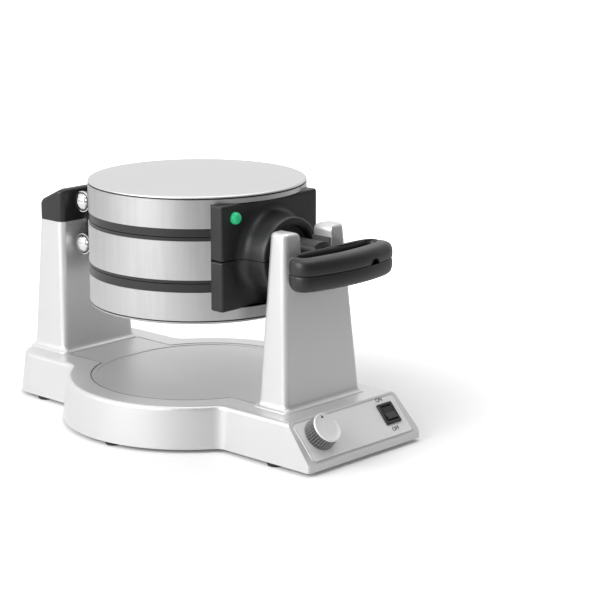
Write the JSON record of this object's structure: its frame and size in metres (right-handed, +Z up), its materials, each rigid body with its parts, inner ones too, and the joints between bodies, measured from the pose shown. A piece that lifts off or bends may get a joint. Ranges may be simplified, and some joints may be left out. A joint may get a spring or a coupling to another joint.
{
  "type": "flip waffle maker",
  "caption": "Countertop waffle maker: round double casing with hinged lids that flips end over end between two towers on a base with a sloped control panel.",
  "frame": {"origin": "centre of the overall box, on the table plane under the feet", "axes": "+X along the flip axis towards the control panel and handle, +Y across, +Z up"},
  "size_m": [0.4138, 0.2662, 0.2323],
  "materials": {
    "steel_brushed": "brushed stainless sheet",
    "silver_satin": "satin silver",
    "black_plastic": "moulded, fine matt",
    "plate_black": "cast with dark non-stick coating",
    "chrome": "polished",
    "steel_plain": "turned or drawn steel",
    "rubber_black": "soft rubber",
    "panel_silver": "fine satin plate",
    "dial_silver": "satin metallised",
    "switch_black": "smooth",
    "lens_green": "lit green lens",
    "board_green": "circuit board",
    "bush_grey": "acetal",
    "heater_steel": "sheathed heater"
  },
  "bodies": {
    "base": {"base_shell": "silver_satin", "bottom_cover": "black_plastic", "rubber_feet": "rubber_black", "cover_screws": "steel_plain", "tower_screws": "steel_plain", "front_tower": "silver_satin", "fork_liner": "bush_grey", "rear_tower": "silver_satin", "rear_tower_cap": "black_plastic", "rear_bearing": "bush_grey", "control_panel": "panel_silver", "dial_thermostat": "black_plastic", "rocker_switch": "switch_black", "control_board": "board_green", "cord_gland": "rubber_black"},
    "rotor": {"middle_band": "steel_brushed", "middle_upper_plate": "plate_black", "middle_lower_plate": "plate_black", "middle_heater": "heater_steel", "hinge_bracket": "black_plastic", "rotor_shaft": "steel_plain", "shaft_ring": "steel_plain", "upper_hinge_pin": "chrome", "lower_hinge_pin": "chrome", "lower_lid_plate": "plate_black", "lower_lid_band": "steel_brushed", "lower_lid_cover": "steel_brushed", "lower_heater": "heater_steel", "lower_heat_shield": "steel_plain", "lower_housing": "black_plastic", "lower_handle": "black_plastic", "lower_hinge_arm": "black_plastic"},
    "upper_lid": {"upper_lid_plate": "plate_black", "upper_lid_band": "steel_brushed", "upper_lid_cover": "steel_brushed", "upper_heater": "heater_steel", "upper_heat_shield": "steel_plain", "upper_thermostat": "steel_plain", "upper_housing": "black_plastic", "upper_handle": "black_plastic", "upper_hinge_arm": "black_plastic", "ready_lens": "lens_green"},
    "dial": {"browning_dial": "dial_silver"},
    "rocker": {"rocker_paddle": "switch_black"},
    "tray": {"drip_tray": "silver_satin"}
  },
  "joints": [
    {"name": "flip", "type": "hinge", "parent": "base", "child": "rotor", "pos_m": [-0.00979, 0, 0.1713], "axis": [1, 0, 0], "range_deg": [0, 180]},
    {"name": "upper_lid_hinge", "type": "hinge", "parent": "rotor", "child": "upper_lid", "pos_m": [-0.14479, 0, 0.1923], "axis": [0, 1, 0], "range_deg": [-100, 0]},
    {"name": "dial_turn", "type": "hinge", "parent": "base", "child": "dial", "pos_m": [0.18612, -0.045, 0.02802], "axis": [0.7462, 0, 0.6657], "range_deg": [-135, 135]},
    {"name": "rocker_tilt", "type": "hinge", "parent": "base", "child": "rocker", "pos_m": [0.18557, 0.0487, 0.02713], "axis": [0, 1, 0], "range_deg": [0, 12]},
    {"name": "tray_lift", "type": "slide", "parent": "base", "child": "tray", "axis": [0, 0, 1], "range_m": [0, 0.01]}
  ]
}
